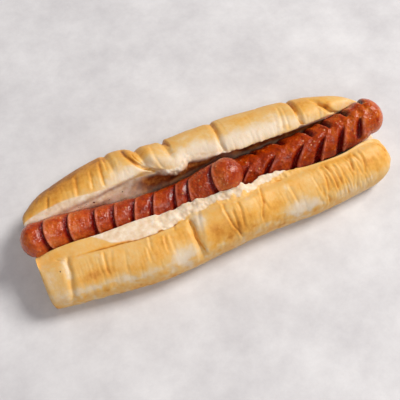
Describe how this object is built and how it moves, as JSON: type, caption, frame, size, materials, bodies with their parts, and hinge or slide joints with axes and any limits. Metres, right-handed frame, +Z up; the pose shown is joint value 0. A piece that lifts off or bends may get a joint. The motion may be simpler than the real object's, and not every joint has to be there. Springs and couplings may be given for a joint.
{
  "type": "hot dog",
  "caption": "Long soft roll split along its top and pressed open, with scored fried frankfurters laid end over end in the split.",
  "frame": {"origin": "on the table under the middle of the hot dog", "axes": "+X along the roll from its blunt end to its rounded end, +Y to the roll's back half, +Z up"},
  "size_m": [0.2766, 0.1028, 0.0491],
  "materials": {
    "bread": "soft golden crust, pale torn crumb in the split",
    "sausage": "oily fried skin, darker in the cuts"
  },
  "bodies": {
    "root": {"roll": "bread", "sausage_upper": "sausage", "sausage_lower": "sausage"}
  },
  "joints": []
}
